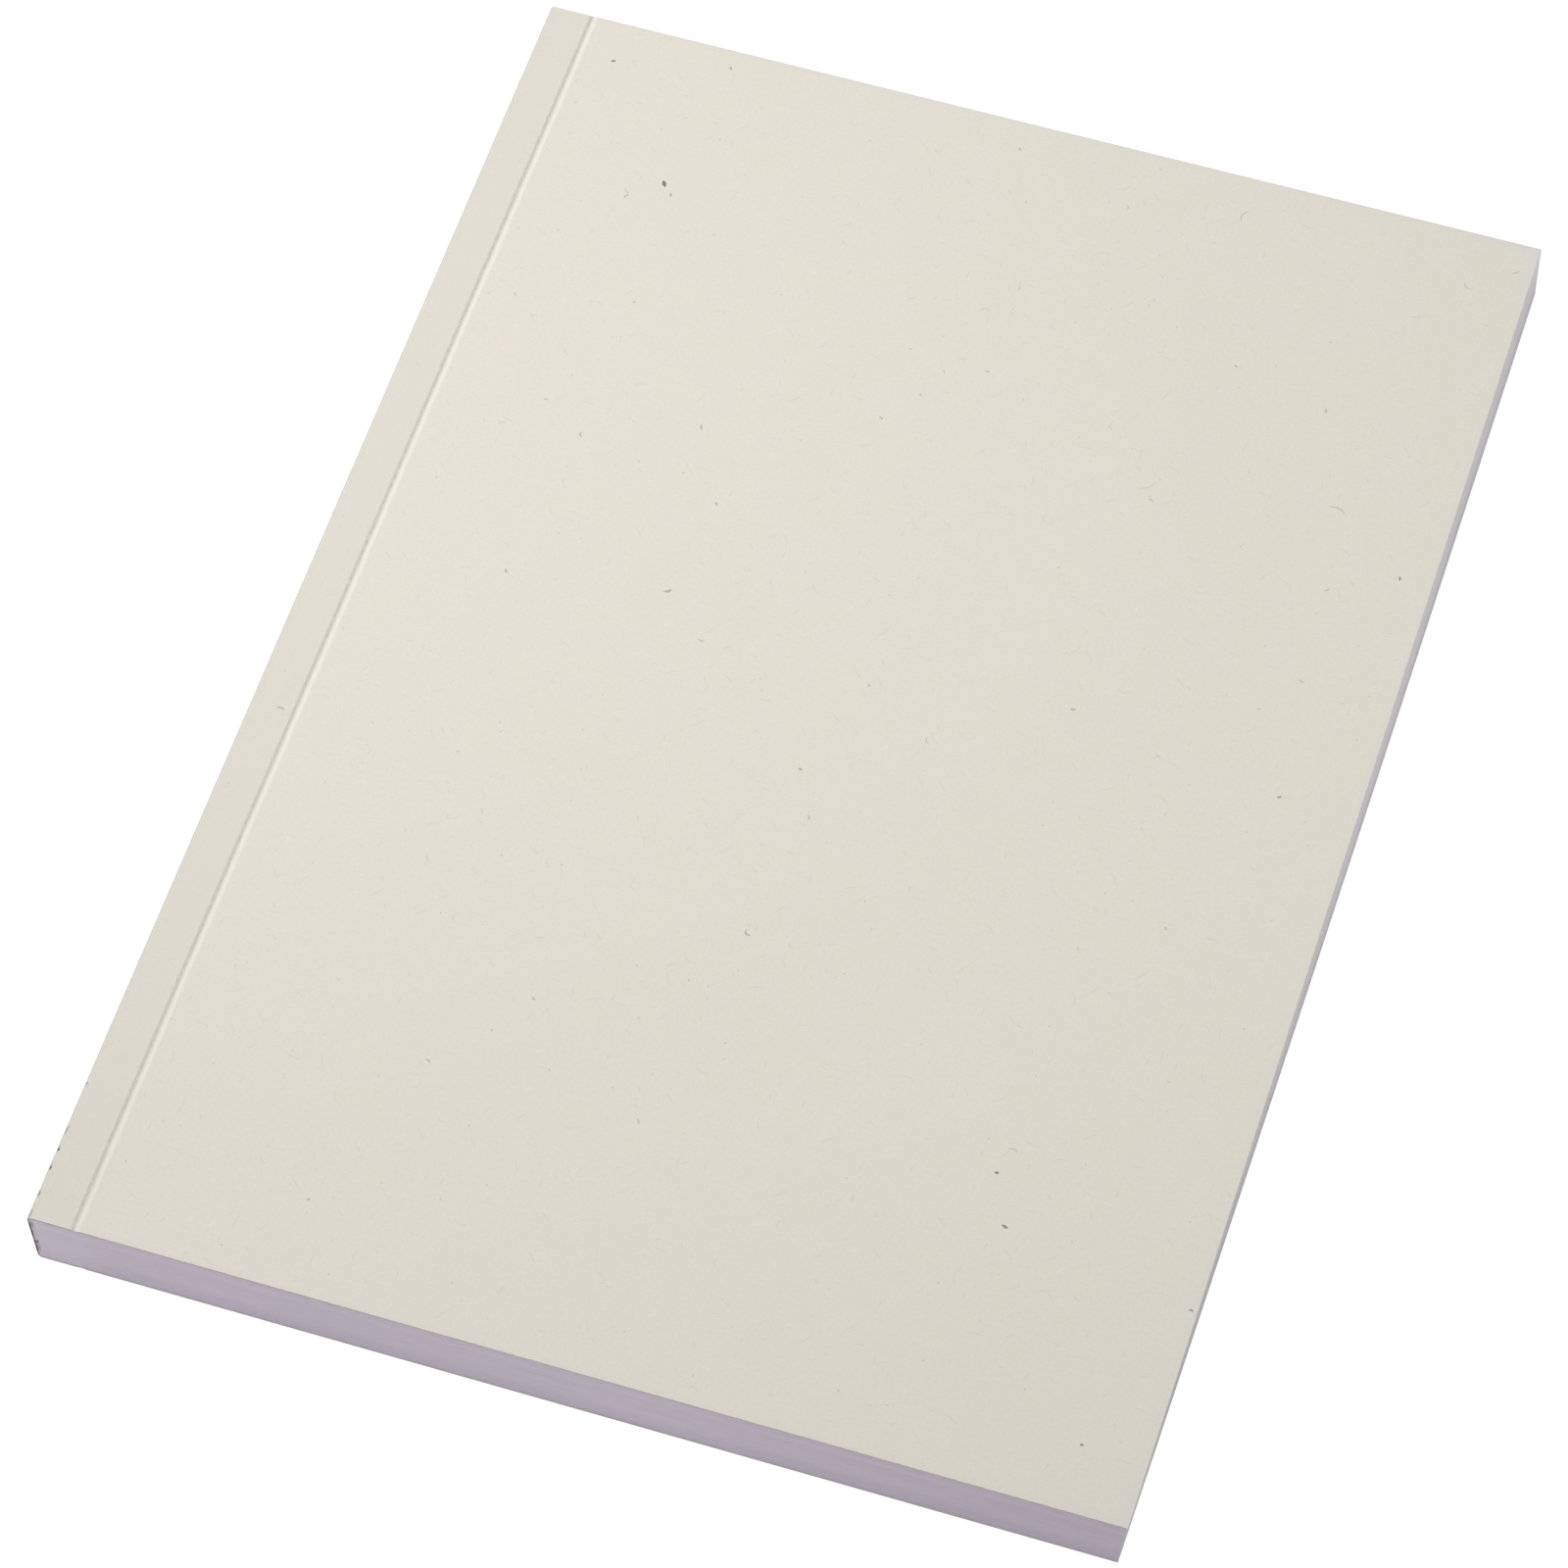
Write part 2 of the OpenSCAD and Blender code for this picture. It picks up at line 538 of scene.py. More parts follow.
def block(bm, low, high):
    """A box between two corners."""
    middle = (low + high) / 2
    size = high - low
    matrix = Matrix.Translation(middle) @ Matrix.Diagonal((*size, 1.0))
    return bmesh.ops.create_cube(bm, size=1.0, matrix=matrix)["verts"]


def on_sheet(point):
    """Where a point of the card lies on the unfolded sheet: across from the middle of the spine,
    along from the tail, and how deep below the outer face."""
    up = point.z - book_t / 2
    sign = 1.0 if up >= 0 else -1.0
    height = abs(up)
    if point.x >= fold_r:
        across, depth = wrap + point.x, book_t / 2 - height
    elif height > half_spine:
        turn = math.atan2(height - half_spine, fold_r - point.x)
        across = half_spine + fold_r * turn
        depth = fold_r - math.hypot(height - half_spine, fold_r - point.x)
    else:
        across, depth = height, point.x
    return Vector((sign * across, point.y, max(0.0, depth)))


def soften(bm, edges, size, segments=2):
    """Rounds the given edges."""
    bmesh.ops.bevel(bm, geom=edges, offset=size, offset_type="OFFSET", affect="EDGES",
                    segments=segments, profile=0.5, material=-1, clamp_overlap=True)


def spine_shift(point):
    """How far a point is pushed towards the fore edge by the lean of the spine, which is greatest at
    the back cover's fold and the tail, and is taken up by the glued strip."""
    share = 1 - smooth(point.x, fold_r, LEAN_END)
    return SPINE_LEAN * share * (1 - point.z / book_t) * (1 - point.y / book_h) ** 2


def make_object(name, bm, materials, pattern=True):
    """Finishes a bmesh that was drawn in millimetres, and gives the object in the frame."""
    bmesh.ops.recalc_face_normals(bm, faces=bm.faces[:])
    if pattern:
        sheet = bm.verts.layers.float_vector.new("sheet")
        for vert in bm.verts:
            vert[sheet] = on_sheet(vert.co)
    for vert in bm.verts:
        vert.co.x += spine_shift(vert.co)
    open_edges = sum(1 for edge in bm.edges if len(edge.link_faces) != 2)
    bm.transform(TO_FRAME)
    mesh = bpy.data.meshes.new(name)
    bm.to_mesh(mesh)
    bm.free()
    for material in materials:
        mesh.materials.append(material)
    obj = bpy.data.objects.new(name, mesh)
    bpy.context.scene.collection.objects.link(obj)
    print(name, "has", len(mesh.vertices), "points and", open_edges, "open edges")
    return obj

# %% [markdown]
# The covers
# A cover is a flat panel of card, from the bottom of its crease to the fore edge. Near the crease it
# is cut into narrow strips, because that is where the card curves down into the groove, and where it
# has to bend when the cover opens. Everywhere else it may stay in long faces, since card is flat. The
# back cover is the same panel mirrored. The guillotine that trimmed this block leaned as it reached
# the tail, so the fore edge of the leaves and of the back cover lies up to a millimetre further in
# than the front cover's.

# %% Front and back covers
groove_step = 0.075
groove_reach = crease_w / 2 + 0.12
length_step = 2.0
edge_round = 0.05
trim_lean = 0.95


def trim_shift(point):
    """How far the trimmed fore edge lies inside the front cover's, at a height and a distance from
    the tail."""
    return trim_lean * (1 - point.y / book_h) ** 2 * (1 - point.z / book_t)


def rim_edges(bm, skip_x):
    """The edges round the cut sides of a piece of card, without those where it joins the next."""
    def cut_side(face):
        off_join = abs(face.calc_center_median().x - skip_x) > SMALL
        return abs(face.normal.y) > 0.9 or (face.normal.x > 0.9 and off_join)

    found = []
    for edge in bm.edges:
        at_join = all(abs(vert.co.x - skip_x) < SMALL for vert in edge.verts)
        sides = [cut_side(face) for face in edge.link_faces]
        turned = len(sides) == 2 and edge.calc_face_angle() > 0.7
        if turned and any(sides) and not at_join:
            found.append(edge)
    return found


def mark_cut_faces(bm, skip_x):
    """Gives the cut sides of the card the second material."""
    for face in bm.faces:
        beyond_join = face.calc_center_median().x > skip_x + 1
        outer = abs(face.normal.y) > 0.9 or (face.normal.x > 0.9 and beyond_join)
        face.material_index = 1 if outer else 0


def cover_panel(name, is_front):
    """A cover, drawn as the front one and mirrored to the underside if it is the back one."""
    bm = bmesh.new()
    block(bm, Vector((crease_x, 0, book_t - card_t)), Vector((book_w, book_h, book_t)))
    slice_across(bm, 0, spread(crease_x, crease_x + groove_reach, groove_step) + [crease_x + groove_reach])
    slice_across(bm, 1, spread(0, book_h, length_step))
    for vert in bm.verts:
        if vert.co.z > book_t - SMALL:
            vert.co.z -= crease_drop(vert.co.x, vert.co.y if is_front else book_h - vert.co.y)
    if not is_front:
        bmesh.ops.scale(bm, vec=(1, 1, -1), verts=bm.verts[:])
        bmesh.ops.translate(bm, vec=(0, 0, book_t), verts=bm.verts[:])
        for vert in bm.verts:
            if vert.co.x > book_w - SMALL:
                vert.co.x -= trim_shift(vert.co)
    bmesh.ops.recalc_face_normals(bm, faces=bm.faces[:])
    soften(bm, rim_edges(bm, crease_x), edge_round)
    bm.normal_update()
    mark_cut_faces(bm, crease_x)
    return make_object(name, bm, [card, card_edge])


front_card = cover_panel("front_card", True)
back_card = cover_panel("back_card", False)

# %% [markdown]
# The spine
# The middle of the same sheet runs from one crease to the other, round two tight folds. It could be
# carved from a block, but a folded sheet is easier to draw the way it is folded: a short edge, as
# long as the card is thick, is pulled along the strip, spun a quarter turn round the fold, pulled
# down the spine, spun again and pulled back. The ribbon that it leaves is the section, and extruding
# the ribbon from tail to head gives the card. The real spine isn't quite upright: towards the tail
# its lower fold lies about half a millimetre further in. The helper that finishes every mesh gives
# that lean to all the pieces near the spine, so that they stay together.

# %% Spine card
FOLD_STEPS = 8


def pull(bm, edge, offset):
    """Extrudes one edge by an offset and gives the new edge."""
    made = bmesh.ops.extrude_edge_only(bm, edges=[edge])["geom"]
    verts = [item for item in made if isinstance(item, bmesh.types.BMVert)]
    bmesh.ops.translate(bm, vec=offset, verts=verts)
    return next(item for item in made if isinstance(item, bmesh.types.BMEdge)
                and all(vert in verts for vert in item.verts))


def turn_fold(bm, edge, centre):
    """Spins one edge a quarter turn round a fold and gives the last edge."""
    made = bmesh.ops.spin(bm, geom=[*edge.verts, edge], cent=centre, axis=(0, -1, 0), dvec=(0, 0, 0),
                          angle=math.pi / 2, steps=FOLD_STEPS, use_merge=False, use_duplicate=False)
    return next(item for item in made["geom_last"] if isinstance(item, bmesh.types.BMEdge))


def folded_spine():
    """The card between the two creases, with its folds."""
    bm = bmesh.new()
    outer = bm.verts.new((crease_x, 0, book_t))
    inner = bm.verts.new((crease_x, 0, book_t - card_t))
    edge = bm.edges.new((outer, inner))
    edge = pull(bm, edge, (fold_r - crease_x, 0, 0))
    edge = turn_fold(bm, edge, (fold_r, 0, book_t - fold_r))
    edge = pull(bm, edge, (0, 0, 2 * fold_r - book_t))
    edge = turn_fold(bm, edge, (fold_r, 0, fold_r))
    pull(bm, edge, (crease_x - fold_r, 0, 0))
    bmesh.ops.remove_doubles(bm, verts=bm.verts[:], dist=1e-4)
    made = bmesh.ops.extrude_face_region(bm, geom=bm.faces[:])["geom"]
    verts = [item for item in made if isinstance(item, bmesh.types.BMVert)]
    bmesh.ops.translate(bm, vec=(0, book_h, 0), verts=verts)
    near_groove = crease_x - groove_reach
    slice_across(bm, 0, spread(strip_start, near_groove, 1.2) + [strip_start, near_groove])
    slice_across(bm, 0, spread(near_groove, crease_x, groove_step))
    slice_across(bm, 1, spread(0, book_h, length_step))
    for vert in bm.verts:
        if vert.co.z > book_t - SMALL:
            vert.co.z -= crease_drop(vert.co.x, vert.co.y)
        elif vert.co.z < SMALL:
            vert.co.z += crease_drop(vert.co.x, book_h - vert.co.y)
    bmesh.ops.recalc_face_normals(bm, faces=bm.faces[:])
    soften(bm, rim_edges(bm, crease_x), edge_round)
    bm.normal_update()
    mark_cut_faces(bm, crease_x)
    return make_object("spine_card", bm, [card, card_edge])


spine_card = folded_spine()

# %% [markdown]
# The leaves
# Ninety-six leaves are one solid here, but their trimmed edges are what the eye sees at the tail and
# the fore edge. A flat box with stripes painted on looks false as soon as light grazes it. The four
# upright edges of the block are divided twice for each leaf, and every second ring is drawn in by a
# few hundredths of a millimetre: that is the gap between two leaves. The rings between them stand out
# by slightly different amounts, as paper does after the knife.

# %% Leaf block
leaf_gap = 0.02
leaf_stray = 0.012
leaf_rng = random.Random(7)


def leaf_shift(level, along, strays):
    """How far one ring of the block is moved outwards, at a place along the side."""
    if level % 2 == 0:
        return -leaf_gap
    leaf = level // 2
    return strays[leaf] + 0.006 * math.sin(along / 9.0 + leaf * 1.7)


def leaf_block():
    """The block of leaves with its trimmed edges."""
    bm = bmesh.new()
    block(bm, leaves_low, leaves_high)
    uprights = [edge for edge in bm.edges if abs(edge.verts[0].co.z - edge.verts[1].co.z) > 1]
    bmesh.ops.subdivide_edges(bm, edges=uprights, cuts=2 * leaf_count - 1, use_grid_fill=True)
    slice_across(bm, 0, spread(leaves_low.x, leaves_high.x, 8.0))
    slice_across(bm, 1, spread(leaves_low.y, leaves_high.y, 8.0))
    strays = [leaf_rng.uniform(-leaf_stray, leaf_stray) for _ in range(leaf_count)]
    half_leaf = (leaves_high.z - leaves_low.z) / (2 * leaf_count)
    for vert in bm.verts:
        level = round((vert.co.z - leaves_low.z) / half_leaf)
        at_fore = vert.co.x > leaves_high.x - SMALL
        at_tail = vert.co.y < leaves_low.y + SMALL
        at_head = vert.co.y > leaves_high.y - SMALL
        along_tail, along_fore = vert.co.x, vert.co.y
        if at_fore:
            vert.co.x += leaf_shift(level, along_fore, strays) - leaf_stray * 2 - trim_shift(vert.co)
        if at_tail:
            vert.co.y -= leaf_shift(level, along_tail, strays) - leaf_stray * 2
        if at_head:
            vert.co.y += leaf_shift(level, along_tail + 40, strays) - leaf_stray * 2
    bm.normal_update()
    for face in bm.faces:
        face.material_index = 0 if abs(face.normal.z) > 0.98 else 1
    return make_object("leaves", bm, [page_face, page_edge], pattern=False)

# %% [markdown]
# Paper
# The leaves are white with a faint lavender cast, which gathers where light has passed between many
# edges. On the trimmed sides some leaves take up more dust and light than others, so the tone is
# drawn out into long thin streaks that follow the leaves, over soft patches a thumb wide.

# %% Paper finishes
PAGE_TONES = [tone(227, 215, 231), tone(224, 215, 228)]
PAGE_FORE_DARKER = tone(211, 200, 215)
PAGE_AT_SPINE = tone(232, 223, 234)
FORE_TONES = [tone(213, 210, 213), tone(235, 231, 234)]
FORE_PALEST = tone(250, 250, 250)
PAGE_LOW_SHADE = tone(244, 246, 248)
STREAK_DARK = tone(150, 140, 155)
STREAK_PALE = tone(240, 234, 243)
FACE_TONES = [tone(236, 232, 238), tone(232, 229, 236)]


def in_mm(paint):
    """The place on a piece that never bends, in millimetres."""
    place = paint.node("ShaderNodeTexCoord", out="Object")
    return paint.node("ShaderNodeVectorMath", {"operation": "SCALE"}, {"Vector": place, "Scale": 1 / MM})


def page_edge_finish():
    """The trimmed sides of the block."""
    paint = Paint("trimmed edges of the leaves", 0.9)
    place = in_mm(paint)
    x, y, z = paint.parts(place)
    streaks = paint.noise(paint.vector(x * 0.02, y * 0.02, z), 0.22, 3.0, 0.6)
    patches = paint.noise(place, 16.0, 2.0)
    colour = paint.mix(paint.steps(patches, 0.35, 0.65), *PAGE_TONES)
    # The tail is painted a little duller towards the fore edge and paler at the spine
    half_w = book_w / 2
    colour = paint.mix(paint.steps(x, 0, half_w) * 0.7, colour, PAGE_FORE_DARKER)
    # The fore edge is greyer, palest in its upper leaves at the head, and it leans as the block does
    fore = paint.mix(paint.steps(y, -90, 20), *FORE_TONES)
    upper = paint.steps(y, book_h / 2 - 9, book_h / 2 - 1) * paint.steps(z, 4, 9)
    fore = paint.mix(upper * 0.8, fore, FORE_PALEST)
    lean = 0.5 - y / book_h
    on_fore = paint.steps(x + lean * lean * (1 - z / book_t) * trim_lean, half_w - 0.45, half_w - 0.2)
    colour = paint.mix(on_fore * 0.9, colour, fore)
    colour = paint.mix((1 - paint.steps(x, 3 - half_w, 14 - half_w)) * 0.9, colour, PAGE_AT_SPINE)
    # Painted shade: the lowest leaves, nearest the table, are darker
    colour = paint.mix(1 - paint.steps(z, 0.5, 5.5), colour, PAGE_LOW_SHADE, "MULTIPLY")
    colour = paint.mix(paint.steps(streaks, 0.5, 0.75) * 0.10, colour, STREAK_DARK)
    colour = paint.mix((1 - paint.steps(streaks, 0.25, 0.5)) * 0.12, colour, STREAK_PALE)
    return paint.finish(colour, paint.bump(streaks, 0.02))


def page_face_finish():
    """The face of a leaf, seen when a cover is open."""
    paint = Paint("face of a leaf", 0.88)
    place = in_mm(paint)
    clouds = paint.noise(place, 9.0, 3.0)
    pulp = paint.noise(place, 0.4, 3.0, 0.7)
    colour = paint.mix(clouds, *FACE_TONES)
    return paint.finish(colour, paint.bump(pulp, 0.008))


page_edge = page_edge_finish()
page_face = page_face_finish()
leaves = leaf_block()

# %% [markdown]
# The glue
# Hot-melt glue fills the fold between the leaves and the spine and creeps a little way between the
# card and the first and last leaf. Its ends are never even: the block is trimmed after binding, and
# brittle glue chips under the knife. Most of the end stays nearly flush, a few chips go deep, and a
# band at one height is darkened as painted shade. The glue is a slab with a thin lip on each side, cut
# into short lengths so that its ends can be drawn back.

# %% Glue finish
GLUE_TONES = [tone(224, 218, 222), tone(192, 186, 187)]
GLUE_BAND_SHADE = tone(60, 56, 54)
SHADED_BAND_HEIGHT = 4.2


def glue_finish():
    """Old hot-melt glue: satin, greyish white, darker where dust has stuck to it."""
    paint = Paint("binding glue", 0.45)
    place = in_mm(paint)
    dust = paint.noise(place, 0.8, 3.0, 0.6)
    colour = paint.mix(dust, *GLUE_TONES)
    # Painted shade: a ragged band of the glue at one height is darkened
    _, _, z = paint.parts(place)
    shaded_band = 1 - paint.steps((z - SHADED_BAND_HEIGHT).size() + dust * 0.4, 0.35, 0.6)
    colour = paint.mix(shaded_band * 0.85, colour, GLUE_BAND_SHADE)
    return paint.finish(colour, paint.bump(dust, 0.05))

# %% Glue line
GLUE_NOTCHES = [0.0, 0.01, 0.02, 0.05, 0.35]
glue_rng = random.Random(21)


def glue_line():
    """The glue along the spine, with ragged ends."""
    bm = bmesh.new()
    block(bm, glue_low, Vector((leaves_low.x, glue_high.y, glue_high.z)))
    slice_across(bm, 2, [leaves_low.z, leaves_high.z])
    bm.normal_update()
    # The thin lips that run along the first and the last leaf
    lips = [face for face in bm.faces if face.normal.x > 0.9
            and not leaves_low.z < face.calc_center_median().z < leaves_high.z]
    for face in lips:
        made = bmesh.ops.extrude_face_region(bm, geom=[face])["geom"]
        verts = [item for item in made if isinstance(item, bmesh.types.BMVert)]
        bmesh.ops.translate(bm, vec=(glue_high.x - leaves_low.x, 0, 0), verts=verts)
        bmesh.ops.delete(bm, geom=[face], context="FACES_ONLY")
    slice_across(bm, 2, spread(leaves_low.z, leaves_high.z, 0.4))
    slice_across(bm, 0, spread(leaves_low.x, glue_high.x, 0.6))
    corners = [edge for edge in bm.edges if all(vert.co.x < glue_low.x + SMALL for vert in edge.verts)
               and abs(edge.verts[0].co.z - edge.verts[1].co.z) < SMALL
               and (edge.verts[0].co.z < glue_low.z + SMALL or edge.verts[0].co.z > glue_high.z - SMALL)]
    soften(bm, corners, fold_r - card_t - 0.02, 3)
    drawn_back = {}
    for vert in bm.verts:
        if glue_low.y + SMALL < vert.co.y < glue_high.y - SMALL:
            continue
        is_tail = vert.co.y < book_h / 2
        key = (is_tail, round(vert.co.z, 2), round(max(vert.co.x, leaves_low.x), 1))
        if key not in drawn_back:
            is_lip = vert.co.x > leaves_low.x + SMALL
            drawn_back[key] = glue_rng.choice(GLUE_NOTCHES) * (2.0 if is_lip else 1.0)
        vert.co.y += drawn_back[key] if is_tail else -drawn_back[key]
    return make_object("binding_glue", bm, [glue], pattern=False)


glue = glue_finish()
binding_glue = glue_line()

# %% [markdown]
# Flecks
# The largest fibres and bits of dirt in recycled card stand on its face and can be felt with a
# finger. Those are modelled, each as a thin sliver that is bent and tapered, because a fleck painted
# in a small texture would blur. The boldest are listed where this notebook has them: each row gives
# the distance from the spine and from the tail, the length, the width, the turn and the darkness. A
# scatter of faint ones fills the rest of the card, on every face of it.

# %% Flecks given one by one
FRONT_FLECKS = [
    # Head, beside the crease
    (25.9, 184.0, 1.1, 0.60, -60, 1.0), (27.4, 182.4, 0.6, 0.32, -60, 0.8),
    (21.2, 181.1, 1.4, 0.19, -46, 0.6), (21.4, 180.3, 0.8, 0.28, 53, 0.7),
    (11.9, 203.0, 0.7, 0.40, 25, 0.95), (28.5, 206.8, 0.6, 0.32, -60, 0.8),
    (9.1, 194.2, 0.6, 0.24, 60, 0.5), (19.2, 173.0, 1.2, 0.28, 15, 0.3),
    (30.8, 176.7, 1.1, 0.16, -35, 0.35),
    # Head, middle
    (72.5, 205.1, 0.5, 0.32, -60, 0.7), (80.5, 202.5, 1.2, 0.14, 5, 0.35),
    (90.1, 199.7, 0.9, 0.20, -70, 0.6), (79.5, 181.4, 0.7, 0.24, -75, 0.6),
    (75.9, 176.4, 1.6, 0.22, 25, 0.5), (65.6, 175.2, 1.3, 0.24, 22, 0.45),
    (75.5, 167.2, 1.2, 0.22, 15, 0.45), (79.4, 166.1, 0.6, 0.40, 0, 0.6),
    (73.6, 164.3, 0.7, 0.24, -45, 0.55), (71.7, 159.5, 0.7, 0.24, -60, 0.6),
    (67.6, 154.1, 0.7, 0.28, -30, 0.7), (98.5, 162.2, 1.3, 0.28, -65, 0.5),
    # Head, fore edge
    (106.2, 203.2, 2.2, 0.26, 72, 0.6), (105.5, 201.8, 1.3, 0.18, 35, 0.4),
    (107.2, 205.0, 1.1, 0.14, 55, 0.25), (139.6, 200.5, 1.6, 0.21, -35, 0.6),
    (141.4, 199.9, 1.4, 0.14, -5, 0.25), (145.6, 204.9, 1.3, 0.22, 38, 0.55),
    (134.1, 193.2, 1.4, 0.24, 22, 0.5), (143.9, 194.7, 0.7, 0.28, 10, 0.45),
    (121.6, 198.0, 0.5, 0.32, 0, 0.4), (112.3, 177.4, 0.6, 0.32, -30, 0.75),
    (97.7, 183.8, 0.9, 0.20, -75, 0.4), (126.3, 173.7, 0.9, 0.24, -75, 0.75),
    # Middle, fore edge
    (132.4, 158.1, 2.8, 0.21, -17, 0.65), (106.1, 153.9, 2.7, 0.21, 36, 0.45),
    (107.3, 151.9, 0.9, 0.28, -12, 0.6), (143.4, 149.5, 0.7, 0.32, -75, 0.9),
    (137.5, 146.6, 1.0, 0.18, -48, 0.45), (134.4, 144.7, 0.8, 0.32, 45, 0.6),
    (119.8, 143.2, 1.6, 0.24, 27, 0.3), (135.0, 129.3, 1.0, 0.30, -10, 0.6),
    (130.7, 123.2, 0.6, 0.36, 0, 0.5), (106.8, 115.6, 0.8, 0.36, 10, 0.75),
    (137.1, 110.4, 0.6, 0.36, 30, 0.85), (119.8, 111.8, 0.8, 0.36, -20, 0.5),
    (89.4, 104.9, 1.2, 0.20, -65, 0.6), (87.8, 114.2, 3.2, 0.28, -8, 0.2),
    # Middle, beside the crease
    (12.0, 159.2, 0.8, 0.22, -70, 0.6), (55.1, 153.5, 1.6, 0.28, 45, 0.4),
    (44.2, 145.1, 0.9, 0.28, -70, 0.75), (22.0, 143.2, 0.7, 0.32, 0, 0.6),
    (28.6, 138.9, 0.9, 0.28, -70, 0.75), (17.5, 137.5, 1.3, 0.26, 20, 0.45),
    (50.2, 133.4, 0.7, 0.32, -60, 0.7), (43.2, 127.2, 1.1, 0.20, -45, 0.35),
    (57.3, 124.2, 0.9, 0.24, -60, 0.4), (48.4, 117.6, 1.2, 0.36, 35, 0.8),
    (26.2, 114.1, 0.8, 0.28, -60, 0.8), (55.3, 111.2, 0.9, 0.24, 0, 0.65),
    # Tail
    (74.5, 95.4, 0.6, 0.32, -20, 0.8), (77.9, 88.4, 0.8, 0.30, -70, 0.7),
    (128.3, 86.0, 0.7, 0.26, -60, 0.65), (29.6, 84.3, 0.5, 0.28, 0, 0.55),
    (35.8, 76.3, 1.0, 0.20, -60, 0.5), (75.6, 68.7, 1.2, 0.36, -40, 0.75),
    (81.7, 68.6, 1.0, 0.26, -45, 0.45), (31.2, 67.1, 1.1, 0.18, -65, 0.55),
    (51.9, 50.7, 0.6, 0.32, -30, 0.7), (118.7, 47.8, 1.4, 0.24, -6, 0.6),
    (117.6, 43.9, 0.6, 0.36, 0, 0.95), (120.9, 36.6, 0.9, 0.38, -20, 0.95),
    (41.8, 37.6, 0.9, 0.30, -30, 0.7), (70.9, 37.2, 0.9, 0.28, -60, 0.65),
    (147.1, 32.1, 0.6, 0.40, 0, 0.85), (33.9, 13.4, 0.6, 0.36, 0, 0.7),
    (139.2, 9.5, 0.5, 0.34, 0, 0.95), (101.0, 34.7, 1.0, 0.30, 65, 0.45),
]
STRIP_FLECKS = [
    (4.4, 83.7, 1.2, 0.26, 0, 0.8), (2.8, 89.6, 0.7, 0.22, -60, 0.5), (2.8, 143.7, 0.8, 0.22, -60, 0.5),
    (1.9, 114.1, 0.8, 0.24, -60, 0.4), (4.7, 18.3, 0.9, 0.48, 20, 0.3),
]
print(len(FRONT_FLECKS), "flecks placed on the cover and", len(STRIP_FLECKS), "on the hinge strip")

# %% Making a fleck
fleck_rng = random.Random(5)
fleck_proud = 0.01
FLECK_PARTS = 5
FLECK_DARK = tone(66, 62, 52)


def fleck_finish():
    """Fibre and dirt, as dark as the piece's own attribute says."""
    paint = Paint("flecks in the card", 0.8)
    dark = paint.node("ShaderNodeAttribute", {"attribute_name": "darkness"}, out="Fac")
    share = dark.math("POWER", dark, 2.3) * 0.75
    return paint.finish(paint.mix(share, CARD_COOL, FLECK_DARK))


def fleck_shape(across, along, length, width, turn, darkness):
    """One sliver of fibre, bent and tapered, on the face at height 0."""
    bm = bmesh.new()
    layer = bm.verts.layers.float.new("darkness")
    half = Vector((length / 2, width / 2, fleck_proud))
    block(bm, -half, half)
    slice_across(bm, 0, spread(-half.x, half.x, length / FLECK_PARTS))
    bend = fleck_rng.uniform(-0.35, 0.35) * length
    jitter = [fleck_rng.uniform(0.75, 1.15) for _ in range(2 * (FLECK_PARTS + 1))]
    for vert in bm.verts:
        share = vert.co.x / half.x
        ring = round((share + 1) / 2 * FLECK_PARTS)
        taper = max(0.25, math.sqrt(max(0.0, 1 - share * share)))
        vert.co.y *= taper * jitter[ring * 2 + (vert.co.y > 0)]
        vert.co.y += bend * (share * share - 0.4) * (1 if length > 2.5 * width else 0.2)
        vert[layer] = darkness
    bm.transform(Matrix.Translation((across, along, 0)) @ Matrix.Rotation(math.radians(turn), 4, "Z"))
    return bm

# %% Flecks on every face
def random_flecks(count, low, high):
    """A scatter of mostly faint flecks between two distances from the spine."""
    rows = []
    for _ in range(count):
        is_fibre = fleck_rng.random() < 0.6
        length = fleck_rng.uniform(0.7, 2.0) if is_fibre else fleck_rng.uniform(0.3, 0.55)
        width = fleck_rng.uniform(0.12, 0.22) if is_fibre else length * fleck_rng.uniform(0.5, 0.8)
        across, along = fleck_rng.uniform(low, high), fleck_rng.uniform(2, book_h - 2)
        turn = fleck_rng.uniform(-90, 90)
        darkness = fleck_rng.uniform(0.2, 0.45) if is_fibre else fleck_rng.uniform(0.3, 0.6)
        rows.append((across, along, length, width, turn, darkness))
    return rows


def fleck_piece(name, rows, height, faces_up, body):
    """All the flecks on one face of the card, as one piece that rides with it."""
    bm = bmesh.new()
    sliver = bpy.data.meshes.new("sliver")
    for row in rows:
        shape = fleck_shape(*row)
        shape.to_mesh(sliver)
        shape.free()
        bm.from_mesh(sliver)
    bpy.data.meshes.remove(sliver)
    for vert in bm.verts:
        drop = crease_drop(vert.co.x, vert.co.y) if body == "book_block" else 0.0
        vert.co.z += height - drop * (1 if faces_up else -1)
    obj = make_object(name, bm, [flecks], pattern=False)
    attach(obj, body)
    return obj


flecks = fleck_finish()
cover_reach = (crease_x + crease_w, book_w - 2.5)
strip_reach = (1.2, 5.2)
for name, placed, count, reach, height, faces_up, body in [
        ("front_card_flecks", FRONT_FLECKS, 150, cover_reach, book_t, True, "front_cover"),
        ("front_card_inner_flecks", [], 90, cover_reach, book_t - card_t, False, "front_cover"),
        ("back_card_flecks", [], 190, cover_reach, 0.0, False, "back_cover"),
        ("back_card_inner_flecks", [], 90, cover_reach, card_t, True, "back_cover"),
        ("strip_flecks", STRIP_FLECKS, 6, strip_reach, book_t, True, "book_block")]:
    fleck_piece(name, placed + random_flecks(count, *reach), height, faces_up, body)
